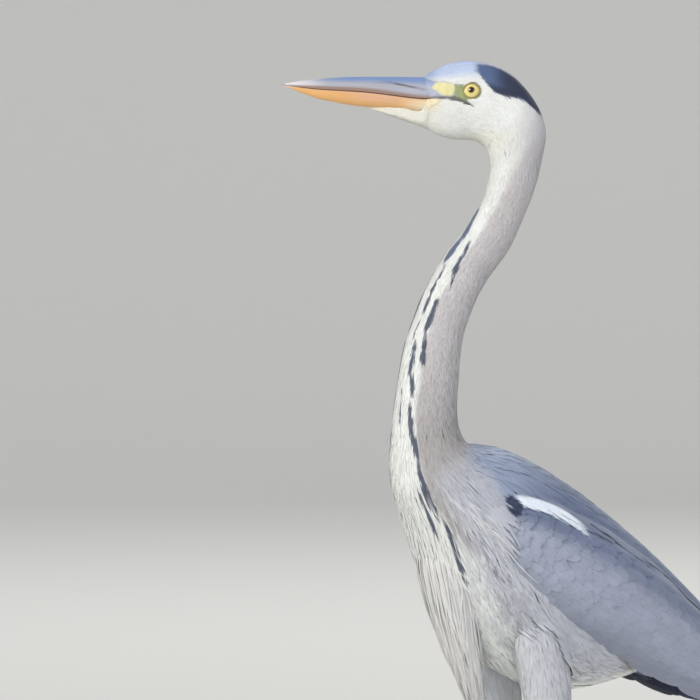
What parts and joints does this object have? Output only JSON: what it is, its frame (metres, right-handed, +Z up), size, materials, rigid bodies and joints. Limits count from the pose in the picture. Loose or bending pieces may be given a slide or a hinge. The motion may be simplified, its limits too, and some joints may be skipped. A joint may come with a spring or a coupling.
{
  "type": "grey heron, still life-size model",
  "caption": "Life-size still model of a standing grey heron: raised S-shaped neck, head turned to its right, long dagger bill, folded wings, long legs and spread toes",
  "frame": {"origin": "on the floor, under the centre of the bird's bounding box", "axes": "+Z up; the trunk faces -Y, so the bird's left side is +X; the head looks about 39 degrees to the bird's right of straight ahead"},
  "size_m": [0.1862, 0.5096, 0.9054],
  "materials": {
    "grey_plumage": "slate-grey contour and flight feathers, matte with a soft sheen",
    "neck_plumage": "pale grey neck plumage, white in front with two rows of dark streaks",
    "head_plumage": "short white head plumage with a dark slate hind crown",
    "pale_plumage": "loose whitish plumes",
    "bill_upper": "bluish grey horn, satin",
    "bill_lower": "ochre horn, satin",
    "eye": "wet yellow iris with a dark pupil",
    "leg_skin": "scaled olive brown leg skin, satin",
    "claw_horn": "dark horn, satin"
  },
  "bodies": {
    "root": {"bill_lower": "bill_lower", "bill_upper": "bill_upper", "breast_plumes": "pale_plumage", "claw_hind_left": "claw_horn", "claw_hind_right": "claw_horn", "claw_inner_left": "claw_horn", "claw_inner_right": "claw_horn", "claw_middle_left": "claw_horn", "claw_middle_right": "claw_horn", "claw_outer_left": "claw_horn", "claw_outer_right": "claw_horn", "eye_left": "eye", "eye_right": "eye", "foot_left": "leg_skin", "foot_right": "leg_skin", "head": "head_plumage", "neck_lower": "neck_plumage", "neck_middle": "neck_plumage", "neck_upper": "neck_plumage", "shank_left": "leg_skin", "shank_right": "leg_skin", "shin_left": "leg_skin", "shin_right": "leg_skin", "tail": "grey_plumage", "thigh_left": "pale_plumage", "thigh_right": "pale_plumage", "toe_hind_left": "leg_skin", "toe_hind_right": "leg_skin", "toe_inner_left": "leg_skin", "toe_inner_right": "leg_skin", "toe_middle_left": "leg_skin", "toe_middle_right": "leg_skin", "toe_outer_left": "leg_skin", "toe_outer_right": "leg_skin", "trunk": "grey_plumage", "wing_left": "grey_plumage", "wing_right": "grey_plumage"}
  },
  "joints": []
}
